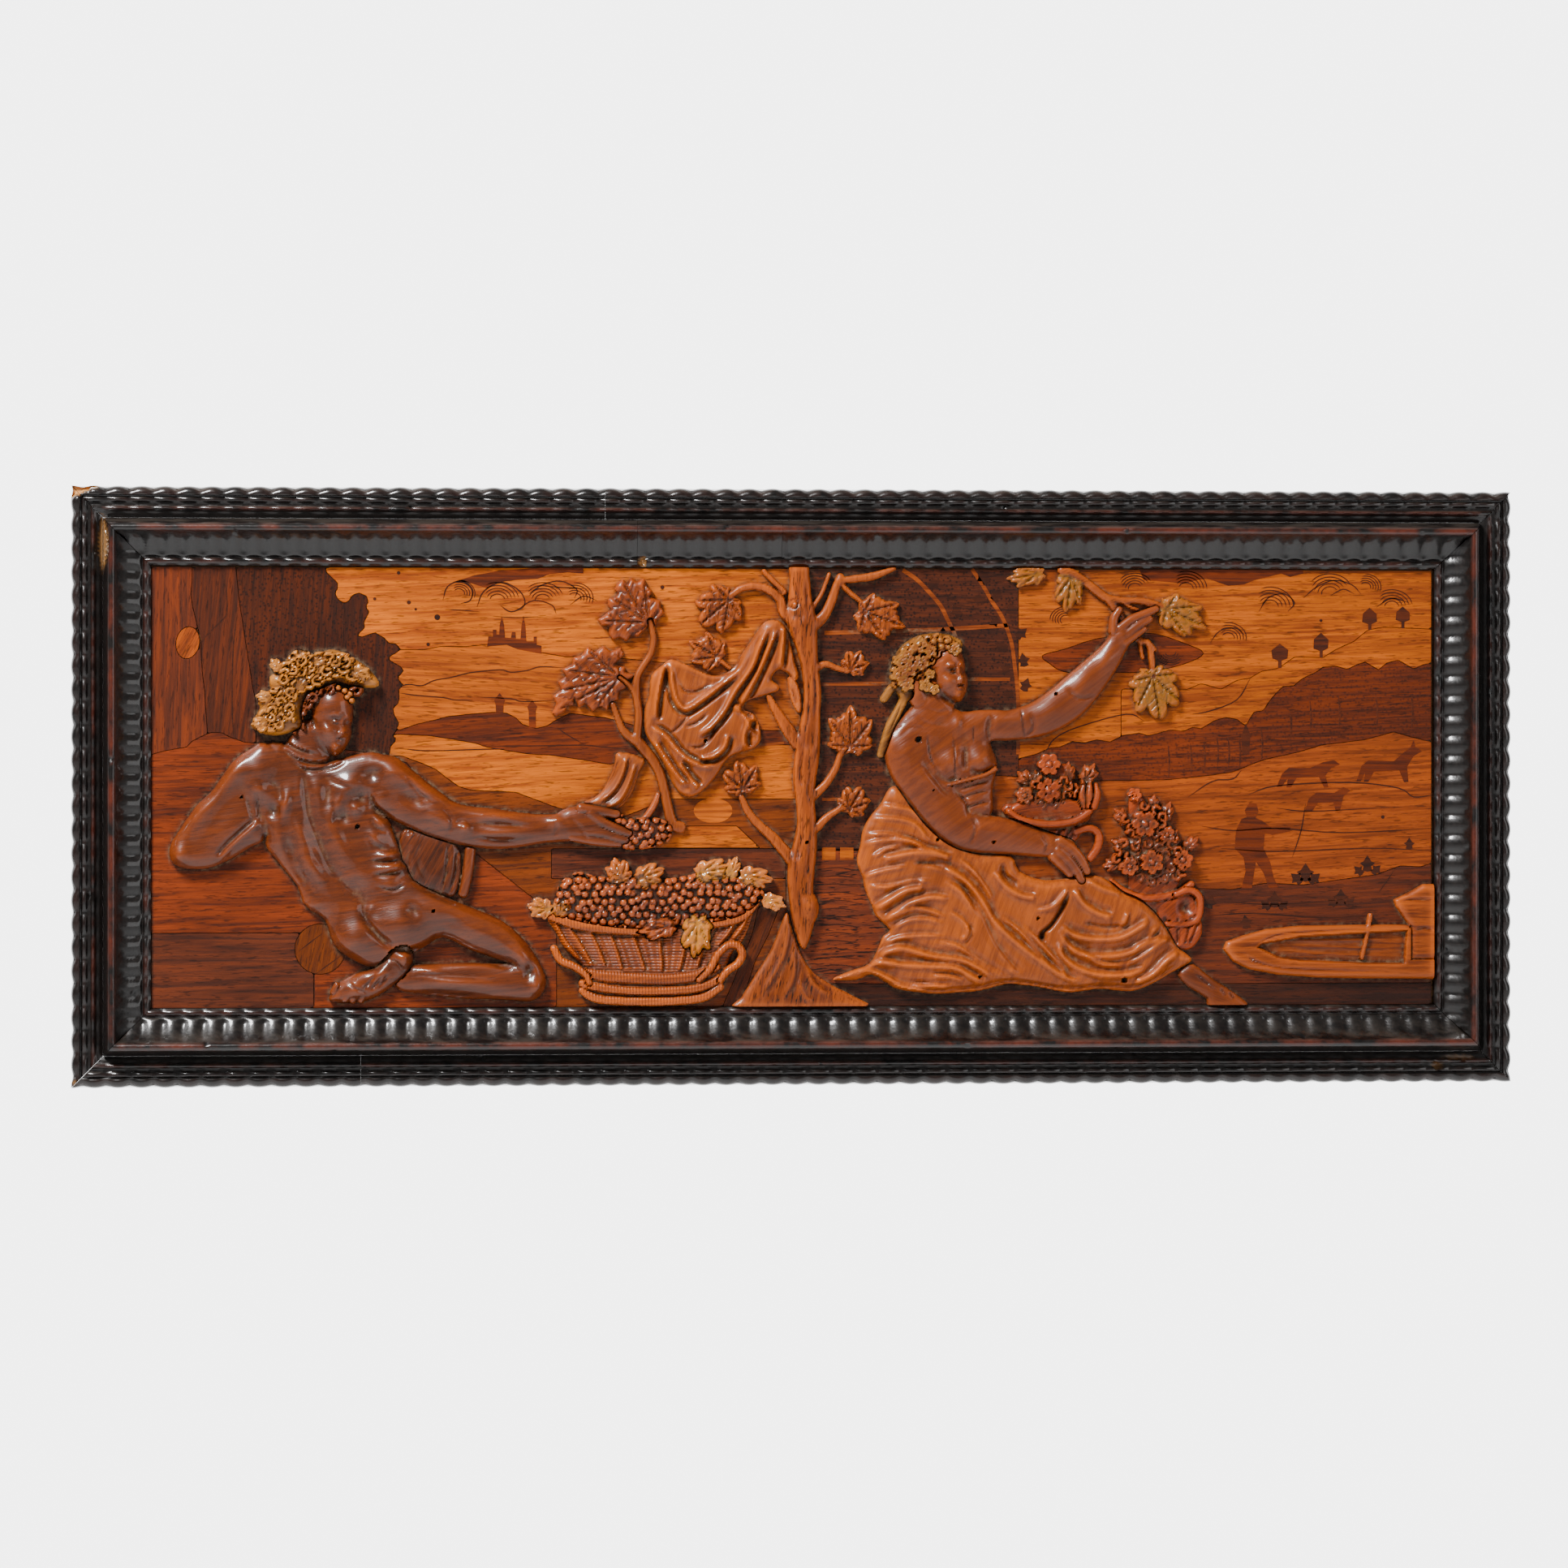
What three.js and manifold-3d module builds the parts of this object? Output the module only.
// A carved and inlaid wooden panel in a ripple-moulded frame, made to hang on a wall.
//
// Millimetres. X runs to the right, Z up, and the front faces -Y. The origin is the middle
// of the flat back, where the panel meets the wall.
//
// A ground board carries everything. A rim moulding wraps its edge, a main moulding lies on
// its face, thin flat woods are inlaid side by side within the moulding, and the figures,
// the tree, the cloth and the fruit are carved pieces glued onto the inlay.

import * as THREE from "three";
import { mergeVertices } from "three/addons/utils/BufferGeometryUtils.js";
import Module from "manifold-3d";

const wasm = await Module();
wasm.setup();

// Driving dimensions

const sightWidth = 571;
const sightHeight = 195;
const rimWidth = 14;
const rimDepth = 16;
const mouldingWidth = 21;
const mouldingDepth = 15;
const boardThickness = 9;
const inlayThickness = 2.5;
const reliefRise = 9;
const inlayGap = 0.3;
const frameGap = 0.3;
const rimWaveLength = 10.3;
const rimWaveDepth = 0.9;
const mouldingWaveLength = 8.9;
const mouldingWaveDepth = 0.9;

// Butt joints in the frame, as shares of the side's length from the left

const rimTopJoint = 0.366;
const rimBottomJoint = 0.198;
const mouldingTopJoints = [0.388, 0.488];

// The cartoon is the drawing that every flat and carved piece is cut from. U runs right and
// V up from the lower left corner of the sight, and a height is a share of the relief's rise.

const cartoonWidth = 571;
const cartoonHeight = 195;
const cartoonRise = 9;
const carvedGap = 0.5;
const outlineCell = 1.7;
const outlineTolerance = 0.38;
const finestTolerance = 0.02;
const smallestHole = 20;
const sampleStep = 1.7;
const carvingTolerance = 0.25;

const sightLeft = -sightWidth / 2;
const sightBottom = -sightHeight / 2;
const inlayFace = -(boardThickness + inlayThickness);

// Colours of the woods

const woods = {
  ebonised: { color: 0x1c1512, roughness: 0.3 },
  spruce: { color: 0x9a7448, roughness: 0.75 },
  amber: { color: 0xcd8c32, roughness: 0.4 },
  honey: { color: 0xc37d2d, roughness: 0.4 },
  orange: { color: 0xa5602a, roughness: 0.42 },
  russet: { color: 0x7a3c22, roughness: 0.42 },
  umber: { color: 0x532c1c, roughness: 0.45 },
  dark: { color: 0x3d221a, roughness: 0.5 },
  plum: { color: 0x5f2d19, roughness: 0.3 },
  pear: { color: 0x965528, roughness: 0.32 },
  cherry: { color: 0xa55a28, roughness: 0.38 },
  walnut: { color: 0xa55523, roughness: 0.42 },
  maple: { color: 0xbe8c46, roughness: 0.42 },
};

const group = new THREE.Group();

function finished(name, wood, geometry) {
  const material = new THREE.MeshStandardMaterial({ ...woods[wood], metalness: 0 });
  const mesh = new THREE.Mesh(geometry, material);
  mesh.name = name;
  group.add(mesh);
}

// Curves through hand-set points

const curveSteps = 4;

// A smooth line through points of any number of values, the first two being U and V.
function smooth(points, closed = false, steps = curveSteps) {
  const count = points.length;
  const at = (i) => points[closed ? (i + count) % count : Math.min(Math.max(i, 0), count - 1)];
  const line = [];
  for (let i = 0; i < (closed ? count : count - 1); i += 1) {
    for (let step = 0; step < steps; step += 1) {
      const t = step / steps;
      line.push(
        at(i).map((b, k) => {
          const a = at(i - 1)[k];
          const c = at(i + 1)[k];
          const d = at(i + 2)[k];
          return b + 0.5 * t * (c - a + t * (2 * a - 5 * b + 4 * c - d + t * (3 * (b - c) + d - a)));
        }),
      );
    }
  }
  if (!closed) line.push(points[count - 1]);
  return line;
}

function clamp(value, low, high) {
  return Math.min(Math.max(value, low), high);
}

// Nearest place on a segment: its share along the segment and its distance.
function nearest(u, v, a, b) {
  const du = b[0] - a[0];
  const dv = b[1] - a[1];
  const length = du * du + dv * dv || 1;
  const share = clamp(((u - a[0]) * du + (v - a[1]) * dv) / length, 0, 1);
  return { share, distance: Math.hypot(u - a[0] - share * du, v - a[1] - share * dv) };
}

// Carved shapes. Each gives, at a place on the cartoon, how far inside its outline the place
// lies (negative outside) and how high the wood stands over the inlay.

// A rounded limb along stations of [u, v, radius, height].
function limb(stations, edge = 1.6, fullness = 0.6) {
  const line = smooth(stations);
  const reach = Math.max(...stations.map((s) => s[2]));
  return {
    bounds: boundsOf(line, reach),
    at(u, v) {
      let inside = -1e9;
      let height = 0;
      for (let i = 1; i < line.length; i += 1) {
        const a = line[i - 1];
        const b = line[i];
        const { share, distance } = nearest(u, v, a, b);
        const radius = a[2] + share * (b[2] - a[2]);
        const top = a[3] + share * (b[3] - a[3]);
        inside = Math.max(inside, radius - distance);
        const round = clamp(1 - (distance / radius) ** 2, 0, 1);
        if (round > 0) height = Math.max(height, edge + (top - edge) * round ** fullness);
      }
      return [inside, Math.max(height, edge)];
    },
  };
}

// A plate with an outline, rising from its edge to its height over a soft border.
function plate(outline, height, edge = 1.6, border = 8) {
  return {
    bounds: boundsOf(outline, 0),
    at(u, v) {
      let distance = 1e9;
      let crossings = 0;
      for (let i = 0; i < outline.length; i += 1) {
        const a = outline[i];
        const b = outline[(i + 1) % outline.length];
        distance = Math.min(distance, nearest(u, v, a, b).distance);
        const spans = a[1] > v !== b[1] > v;
        if (spans && u < a[0] + ((v - a[1]) / (b[1] - a[1])) * (b[0] - a[0])) crossings += 1;
      }
      const inside = crossings % 2 ? distance : -distance;
      const share = clamp(inside / border, 0, 1);
      return [inside, edge + (height - edge) * Math.sqrt(1 - (1 - share) ** 2)];
    },
  };
}

// A vine leaf: five pointed lobes round a centre, the longest at the tip, a notch at the
// stalk, toothed edges and raised ribs. The angle is the way the tip points.
const vineLobes = [[0, 1], [1.15, 0.94], [-1.15, 0.94], [2.25, 0.76], [-2.25, 0.76]];

function leaf(u0, v0, length, width, angle, height = 3.4) {
  const half = Math.max(length, width) * 0.55;
  const turn = THREE.MathUtils.degToRad(angle);
  const lobeHalf = 0.68;
  return {
    bounds: [u0 - half, v0 - half, u0 + half, v0 + half],
    at(u, v) {
      const along = ((u - u0) * Math.cos(turn) + (v - v0) * Math.sin(turn)) / (length / 2);
      const across = ((v - v0) * Math.cos(turn) - (u - u0) * Math.sin(turn)) / (width / 2);
      const bearing = Math.atan2(across, along);
      let reach = 0.34;
      let off = 1;
      for (const [way, long] of vineLobes) {
        const apart = Math.abs(bearing - way) / lobeHalf;
        reach = Math.max(reach, long * (1 - 0.5 * apart));
        off = Math.min(off, apart);
      }
      const far = Math.hypot(along, across);
      const rib = Math.max(0, 1 - 3 * off * far);
      return [(reach - far) * Math.min(length, width) * 0.4, height * (0.74 + 0.26 * rib)];
    },
  };
}

// A flower: round petals about a centre.
function flower(u0, v0, radius, height) {
  const petals = 5;
  return {
    bounds: [u0 - radius, v0 - radius, u0 + radius, v0 + radius],
    at(u, v) {
      const far = Math.hypot(u - u0, v - v0) / radius;
      const petal = Math.abs(Math.cos((Math.atan2(v - v0, u - u0) * petals) / 2));
      return [(0.7 + 0.28 * petal - far) * radius, height * (0.86 + 0.14 * petal * Math.min(far * 2, 1))];
    },
  };
}

// A bunch of round fruit in staggered rows within an outline.
function fruit(outline, spacing, height, low) {
  const heap = plate(outline, height, low, spacing * 2);
  return {
    bounds: heap.bounds,
    at(u, v) {
      const [inside, ground] = heap.at(u, v);
      const row = Math.round(v / (spacing * 0.9));
      const shift = row % 2 ? spacing / 2 : 0;
      const across = u - shift - Math.round((u - shift) / spacing) * spacing;
      const up = v - row * spacing * 0.9;
      const round = clamp(1 - 4 * ((across * across + up * up) / spacing ** 2), 0, 1);
      return [inside, ground - 1.3 + 1.3 * Math.sqrt(round)];
    },
  };
}

// A key for the edge from one corner to another.
function edgeKey(a, b) {
  return a * 1e6 + b;
}

function boundsOf(line, reach) {
  const us = line.map((p) => p[0]);
  const vs = line.map((p) => p[1]);
  return [Math.min(...us) - reach, Math.min(...vs) - reach, Math.max(...us) + reach, Math.max(...vs) + reach];
}

// One carved shape out of several that run into each other.
function joined(...shapes) {
  const bounds = [0, 1, 2, 3].map((k) =>
    (k < 2 ? Math.min : Math.max)(...shapes.map((shape) => shape.bounds[k])),
  );
  return {
    bounds,
    at(u, v) {
      let inside = -1e9;
      let height = 0;
      for (const shape of shapes) {
        const [shapeInside, shapeHeight] = shape.at(u, v);
        inside = Math.max(inside, shapeInside);
        if (shapeInside > 0) height = Math.max(height, shapeHeight);
      }
      return [inside, height || 1.6];
    },
  };
}

// The same shape with round swellings of [u, v, radius, height] added.
function swollen(shape, swellings) {
  return {
    bounds: shape.bounds,
    at(u, v) {
      const [inside, height] = shape.at(u, v);
      let added = 0;
      for (const [u0, v0, radius, rise] of swellings) {
        added += rise * Math.exp(-((u - u0) ** 2 + (v - v0) ** 2) / radius ** 2);
      }
      return [inside, Math.max(height + added * clamp(inside / 3, 0, 1), 1.2)];
    },
  };
}

// The same shape with ridges, or with grooves where the rise is negative, along lines.
function folded(shape, lines, width, rise) {
  const curves = lines.map((line) => smooth(line));
  return {
    bounds: shape.bounds,
    at(u, v) {
      const [inside, height] = shape.at(u, v);
      let most = 0;
      for (const curve of curves) {
        for (let i = 1; i < curve.length; i += 1) {
          const { distance } = nearest(u, v, curve[i - 1], curve[i]);
          most = Math.max(most, Math.exp(-((distance / width) ** 2)));
        }
      }
      return [inside, Math.max(height + rise * most, 1.2)];
    },
  };
}

// The solid of a carved shape. Its outline is followed on a net of small square cells and
// thinned to the points it needs. The top starts as the few faces that fill the outline, and
// the place where they miss the carving most gets a point, until enough points are set.
function carving(shape, points) {
  const followed = outlineLoops(shape);
  let corners = [];
  let rims = [];
  let filled = [];
  const flat = (corner) => new THREE.Vector2(corners[corner][0], corners[corner][1]);
  // An outline thinned so far that it crosses itself can't be filled, and is thinned less.
  for (let tolerance = outlineTolerance; tolerance > finestTolerance; tolerance /= 2) {
    const loops = followed.map((loop) => thinned(loop, tolerance));
    corners = loops.flat().map(([u, v]) => [u, v, shape.at(u, v)[1]]);
    rims = [];
    for (let start = 0, k = 0; k < loops.length; start += loops[k].length, k += 1) {
      rims.push(loops[k].map((_, n) => start + n));
    }
    const contours = rims.map((rim) => rim.map(flat));
    filled = THREE.ShapeUtils.triangulateShape(contours[0], contours.slice(1));
    if (filled.length === corners.length + 2 * rims.length - 4) break;
  }
  const turn = filled.reduce((sum, face) => sum + THREE.ShapeUtils.area(face.map(flat)), 0);
  const backs = turn > 0 ? filled : filled.map((face) => [...face].reverse());
  const tops = refined(corners, backs, shape, points);
  const count = corners.length;
  const places = [...corners, ...corners.map(([u, v]) => [u, v, 0])].map((c) => placed(...c));
  const faces = [...tops, ...backs.map(([a, b, c]) => [a + count, c + count, b + count])];
  for (const rim of rims) {
    rim.forEach((a, k) => {
      const b = rim[(k + 1) % rim.length];
      faces.push([b, a, a + count], [b, a + count, b + count]);
    });
  }
  return solidOf(indexed(places, faces));
}

// The outline of a shape as closed loops, wood on the left: the outer one, then any holes.
function outlineLoops(shape) {
  const [lowU, lowV, highU, highV] = shape.bounds;
  const columns = Math.ceil((highU - lowU) / outlineCell) + 3;
  const rows = Math.ceil((highV - lowV) / outlineCell) + 3;
  const edge = 0.2;
  const corners = [];
  for (let j = 0; j <= rows; j += 1) {
    for (let i = 0; i <= columns; i += 1) {
      const u = lowU + (i - 1.37) * outlineCell;
      const v = lowV + (j - 1.37) * outlineCell;
      const sight = Math.min(u - edge, v - edge, cartoonWidth - edge - u, cartoonHeight - edge - v);
      corners.push([u, v, Math.min(shape.at(u, v)[0], sight) || 1e-6]);
    }
  }
  const crossings = new Map();
  const crossing = (a, b) => {
    const key = a < b ? edgeKey(a, b) : edgeKey(b, a);
    const [au, av, inA] = corners[a];
    const [bu, bv, inB] = corners[b];
    const share = inA / (inA - inB);
    crossings.set(key, [au + share * (bu - au), av + share * (bv - av)]);
    return key;
  };
  const next = new Map();
  const follow = (...loop) => {
    const ends = [];
    loop.forEach((a, k) => {
      const b = loop[(k + 1) % 3];
      if (corners[a][2] > 0 !== corners[b][2] > 0) ends.push([crossing(a, b), corners[a][2] > 0]);
    });
    if (ends.length !== 2) return;
    const [from, to] = ends[0][1] ? ends : [ends[1], ends[0]];
    next.set(from[0], to[0]);
  };
  for (let j = 0; j < rows; j += 1) {
    for (let i = 0; i < columns; i += 1) {
      const a = j * (columns + 1) + i;
      const [b, c, d] = [a + 1, a + columns + 2, a + columns + 1];
      follow(a, b, c);
      follow(a, c, d);
    }
  }
  const loops = [];
  while (next.size) {
    const loop = [next.keys().next().value];
    for (let b = next.get(loop[0]); b !== loop[0]; b = next.get(b)) loop.push(b);
    loop.forEach((a) => next.delete(a));
    loops.push(loop.map((key) => crossings.get(key)));
  }
  const area = (loop) => THREE.ShapeUtils.area(loop.map(([u, v]) => new THREE.Vector2(u, v)));
  const sizes = new Map(loops.map((loop) => [loop, area(loop)]));
  const outer = loops.reduce((a, b) => (sizes.get(b) > sizes.get(a) ? b : a));
  return [outer, ...loops.filter((loop) => sizes.get(loop) < -smallestHole)];
}

// A closed loop with only the points that it needs to keep within a tolerance.
function thinned(loop, tolerance) {
  const keep = new Set();
  const split = (from, to) => {
    let [far, most] = [-1, tolerance];
    for (let k = from + 1; k < to; k += 1) {
      const [u, v] = loop[k % loop.length];
      const { distance } = nearest(u, v, loop[from % loop.length], loop[to % loop.length]);
      if (distance > most) [far, most] = [k, distance];
    }
    keep.add(from % loop.length);
    if (far < 0) return;
    split(from, far);
    split(far, to);
  };
  const middle = Math.floor(loop.length / 2);
  split(0, middle);
  split(middle, loop.length);
  return loop.filter((_, k) => keep.has(k));
}

// Faces over the same outline with points added where they miss the carving most. New faces
// are turned so that none is thinner than it need be.
function refined(corners, faces, shape, points) {
  const owners = new Map();
  const all = new Set();
  const heightAt = ([a, b, c], u, v) => {
    const [au, av, ah] = corners[a];
    const [bu, bv, bh] = corners[b];
    const [cu, cv, ch] = corners[c];
    const whole = (bu - au) * (cv - av) - (cu - au) * (bv - av);
    const second = ((u - au) * (cv - av) - (cu - au) * (v - av)) / whole;
    const third = ((bu - au) * (v - av) - (u - au) * (bv - av)) / whole;
    const least = Math.min(second, third, 1 - second - third);
    return least < -1e-9 || !Number.isFinite(least) ? null : ah + second * (bh - ah) + third * (ch - ah);
  };
  const add = (face, samples) => {
    const entry = { face, samples: [], worst: null, miss: 0 };
    for (const sample of samples) {
      const height = heightAt(face, sample[0], sample[1]);
      if (height === null) continue;
      entry.samples.push(sample);
      const miss = Math.abs(height - sample[2]);
      if (miss > entry.miss) [entry.worst, entry.miss] = [sample, miss];
    }
    face.forEach((a, k) => owners.set(edgeKey(a, face[(k + 1) % 3]), entry));
    all.add(entry);
  };
  const drop = (entry) => {
    entry.face.forEach((a, k) => owners.delete(edgeKey(a, entry.face[(k + 1) % 3])));
    all.delete(entry);
  };
  const leastArea = 1e-3;
  const areaOf = (...loop) => {
    return THREE.ShapeUtils.area(loop.map((k) => new THREE.Vector2(corners[k][0], corners[k][1])));
  };
  // Turns the edge from a to b if the corner beyond it lies in the circle through p, a and b.
  const settle = (p, a, b) => {
    const near = owners.get(edgeKey(a, b));
    const far = owners.get(edgeKey(b, a));
    if (!near || !far || !near.face.includes(p)) return;
    const d = far.face.find((corner) => corner !== a && corner !== b);
    if (!inCircle(corners[p], corners[a], corners[b], corners[d])) return;
    if (areaOf(p, a, d) < leastArea || areaOf(p, d, b) < leastArea) return;
    drop(near);
    drop(far);
    const samples = [...near.samples, ...far.samples.filter((s) => !near.samples.includes(s))];
    add([p, a, d], samples);
    add([p, d, b], samples);
    settle(p, a, d);
    settle(p, d, b);
  };
  const samples = [];
  const [lowU, lowV, highU, highV] = shape.bounds;
  for (let v = lowV; v < highV; v += sampleStep) {
    for (let u = lowU; u < highU; u += sampleStep) {
      const [inside, height] = shape.at(u, v);
      if (inside > sampleStep * 0.6) samples.push([u, v, height]);
    }
  }
  faces.forEach((face) => add(face, samples));
  for (const { face } of [...all]) face.forEach((a, k) => settle(face[(k + 2) % 3], a, face[(k + 1) % 3]));
  for (let k = 0; k < points; k += 1) {
    const entry = [...all].reduce((a, b) => (b.miss > a.miss ? b : a));
    if (entry.miss < carvingTolerance) break;
    const [u, v, height] = entry.worst;
    const p = corners.push([u, v, height]) - 1;
    const [a, b, c] = entry.face;
    const rest = entry.samples.filter((sample) => sample !== entry.worst);
    drop(entry);
    add([a, b, p], rest);
    add([b, c, p], rest);
    add([c, a, p], rest);
    settle(p, a, b);
    settle(p, b, c);
    settle(p, c, a);
  }
  return [...all].map((entry) => entry.face);
}

// Whether d lies in the circle through a, b and c, which run counter-clockwise.
function inCircle(a, b, c, d) {
  const rows = [a, b, c].map(([u, v]) => [u - d[0], v - d[1], (u - d[0]) ** 2 + (v - d[1]) ** 2]);
  const [[au, av, aw], [bu, bv, bw], [cu, cv, cw]] = rows;
  return au * (bv * cw - bw * cv) - av * (bu * cw - bw * cu) + aw * (bu * cv - bv * cu) > 1e-9;
}

// A thin stem along stations of [u, v, radius, height], with a flat-topped section.
function stem(stations, growth = 0, tall = 0) {
  const line = smooth(stations, false, 2);
  const points = [];
  const faces = [];
  line.forEach(([u, v, radius, height], k) => {
    const before = line[Math.max(k - 1, 0)];
    const after = line[Math.min(k + 1, line.length - 1)];
    const [du, dv] = [after[0] - before[0], after[1] - before[1]];
    const long = Math.hypot(du, dv);
    for (const [share, level] of [[1, 0], [tall ? 1 : 0.55, 1], [tall ? -1 : -0.55, 1], [-1, 0]]) {
      const out = (share * (radius + growth)) / long;
      points.push(placed(u - out * dv, v + out * du, level * (tall || height)));
    }
  });
  const last = points.length - 4;
  for (let k = 0; k < last; k += 4) {
    for (let n = 0; n < 4; n += 1) {
      const m = (n + 1) % 4;
      faces.push([k + n, k + m, k + 4 + n], [k + m, k + 4 + m, k + 4 + n]);
    }
  }
  faces.push([0, 2, 1], [0, 3, 2], [last, last + 1, last + 2], [last, last + 2, last + 3]);
  return solidOf(indexed(points, faces));
}

// A carved piece from its shapes and its stems, joined where they meet.
function carved(shapes, points, stems) {
  const solids = [...shapes.map((shape) => carving(shape, points)), ...stems.map((line) => stem(line))];
  return solids.reduce((whole, solid) => whole.add(solid));
}

// The room a carved piece takes up in front of the inlay, grown all round by some distance.
function room(shapes, stems, growth) {
  const tall = 3 * cartoonRise;
  const solids = shapes.map((shape) => {
    const bounds = shape.bounds.map((bound, k) => (growth ? bound + (k < 2 ? -1 : 1) * growth : bound));
    return carving({ bounds, at: (u, v) => [shape.at(u, v)[0] + growth, tall] }, 0);
  });
  return [...solids, ...stems.map((line) => stem(line, growth, tall))].reduce((a, b) => a.add(b));
}

// A place on the cartoon, at a height over the inlay, in the panel's own millimetres.
function placed(u, v, height) {
  return [
    sightLeft + (u * sightWidth) / cartoonWidth,
    inlayFace - (height * reliefRise) / cartoonRise,
    sightBottom + (v * sightHeight) / cartoonHeight,
  ];
}

function indexed(points, faces) {
  const geometry = new THREE.BufferGeometry();
  geometry.setAttribute("position", new THREE.Float32BufferAttribute(points.flat(), 3));
  geometry.setIndex(faces.flat());
  return geometry;
}

// Frame

const plainStation = 80;

// A moulding along one side: lines run its length, one for each corner of its section. A
// waved line carries the ripple. The section is [inset, depth, wave], and the two ends are
// cut on the mitre, or square at a joint.
function moulding(section, length, cuts, wave) {
  const lines = section.map(([inset, depth, waved], k) => {
    const start = cuts[0].mitred ? inset + cuts[0].at : cuts[0].at;
    const end = cuts[1].mitred ? length - inset - cuts[1].at : cuts[1].at;
    const besideWave = section[k - 1]?.[2] || section[k + 1]?.[2];
    const plain = besideWave ? Math.ceil((end - start) / plainStation) : 1;
    const pieces = waved ? Math.round((2 * (end - start)) / wave.length) : plain;
    const line = [];
    for (let k = 0; k <= pieces; k += 1) {
      const along = start + ((end - start) * k) / pieces;
      const crest = waved && k % 2 ? waved * wave.depth : 0;
      line.push([along, inset, depth + crest]);
    }
    return line;
  });
  const points = lines.flat();
  const first = [];
  lines.reduce((sum, line) => {
    first.push(sum);
    return sum + line.length;
  }, 0);
  const faces = [];
  lines.forEach((line, k) => {
    const other = (k + 1) % lines.length;
    let [i, j] = [0, 0];
    while (i < line.length - 1 || j < lines[other].length - 1) {
      const a = first[k] + i;
      const b = first[other] + j;
      const onward = j === lines[other].length - 1;
      const nearer = i < line.length - 1 && !onward && line[i + 1][0] <= lines[other][j + 1][0];
      if (onward || nearer) {
        faces.push([a, a + 1, b]);
        i += 1;
      } else {
        faces.push([a, b + 1, b]);
        j += 1;
      }
    }
  });
  const outline = section.map(([inset, depth]) => new THREE.Vector2(inset, depth));
  const way = Math.sign(THREE.ShapeUtils.area(outline));
  const last = (k) => first[k] + lines[k].length - 1;
  for (const face of THREE.ShapeUtils.triangulateShape(outline, [])) {
    const turn = Math.sign(THREE.ShapeUtils.area(face.map((k) => outline[k])));
    const [a, b, c] = turn === way ? face : [...face].reverse();
    faces.push([first[a], first[b], first[c]], [last(c), last(b), last(a)]);
  }
  return { points, faces };
}

// The section of the rim, from its outer edge in: [inset, depth off the wall, wave].
function rimSection() {
  const w = rimWidth;
  const d = rimDepth;
  return [
    [0, 0],
    [0, d * 0.78],
    [w * 0.06, d * 0.93],
    [w * 0.2, d * 0.98],
    [w * 0.3, d * 0.97],
    [w * 0.32, d * 0.92],
    [w * 0.43, d * 0.93, 1],
    [w * 0.54, d * 0.91],
    [w * 0.64, d * 0.91],
    [w * 0.72, d * 0.96],
    [w * 0.8, d * 0.9],
    [w * 0.94, d * 0.87],
    [w, d * 0.8],
    [w, 0],
  ];
}

// The section of the main moulding: a steep outer side, a round crest, a long hollow fall
// towards the picture and a small bead at the sight edge.
function mouldingSection() {
  const near = rimWidth + frameGap;
  const w = mouldingWidth - frameGap;
  const low = boardThickness;
  const d = mouldingDepth;
  return [
    [near, low],
    [near, low + d * 0.35],
    [near + w * 0.08, low + d * 0.55],
    [near + w * 0.16, low + d * 0.9],
    [near + w * 0.24, low + d],
    [near + w * 0.31, low + d * 0.92],
    [near + w * 0.36, low + d * 0.82],
    [near + w * 0.52, low + d * 0.62, 1],
    [near + w * 0.7, low + d * 0.42],
    [near + w * 0.82, low + d * 0.31],
    [near + w * 0.9, low + d * 0.4],
    [near + w, low + d * 0.27],
    [near + w, low],
  ];
}

// The four sides of the frame, each turned from the lower side's place.
function frameSides() {
  const border = rimWidth + mouldingWidth;
  const outerWidth = sightWidth + 2 * border;
  const outerHeight = sightHeight + 2 * border;
  const rimWave = { length: rimWaveLength, depth: rimWaveDepth };
  const mainWave = { length: mouldingWaveLength, depth: mouldingWaveDepth };
  const sides = [
    { name: "bottom", length: outerWidth, turn: 0, reach: outerHeight / 2 },
    { name: "right", length: outerHeight, turn: 90, reach: outerWidth / 2 },
    { name: "top", length: outerWidth, turn: 180, reach: outerHeight / 2 },
    { name: "left", length: outerHeight, turn: 270, reach: outerWidth / 2 },
  ];
  const joints = {
    rim_top: [rimTopJoint],
    rim_bottom: [rimBottomJoint],
    moulding_top: mouldingTopJoints,
  };
  const endings = { 1: [""], 2: ["_left", "_right"], 3: ["_left", "_middle", "_right"] };
  const kinds = [
    { name: "rim", section: rimSection(), wave: rimWave },
    { name: "moulding", section: mouldingSection(), wave: mainWave },
  ];
  for (const kind of kinds) {
    for (const side of sides) {
      const name = `${kind.name}_${side.name}`;
      const shares = joints[name] ?? [];
      const stops = [0, ...shares, 1];
      for (let k = 1; k < stops.length; k += 1) {
        const mirrored = side.turn === 180;
        const [from, to] = mirrored ? [1 - stops[k], 1 - stops[k - 1]] : [stops[k - 1], stops[k]];
        const cut = (share, way) =>
          share === 0 || share === 1
            ? { mitred: true, at: frameGap / 2 }
            : { mitred: false, at: share * side.length + (way * frameGap) / 2 };
        const { points, faces } = moulding(kind.section, side.length, [cut(from, 1), cut(to, -1)], kind.wave);
        const turn = THREE.MathUtils.degToRad(side.turn);
        const turned = points.map(([along, inset, depth]) => {
          const x = along - side.length / 2;
          const z = inset - side.reach;
          return [x * Math.cos(turn) - z * Math.sin(turn), -depth, x * Math.sin(turn) + z * Math.cos(turn)];
        });
        finished(name + endings[stops.length - 1][k - 1], "ebonised", indexed(turned, faces));
      }
    }
  }
}

function groundBoard() {
  const width = sightWidth + 2 * mouldingWidth - frameGap;
  const height = sightHeight + 2 * mouldingWidth - frameGap;
  const board = new THREE.BoxGeometry(width, boardThickness, height);
  board.translate(0, -boardThickness / 2, 0);
  finished("ground_board", "spruce", board);
}

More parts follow.
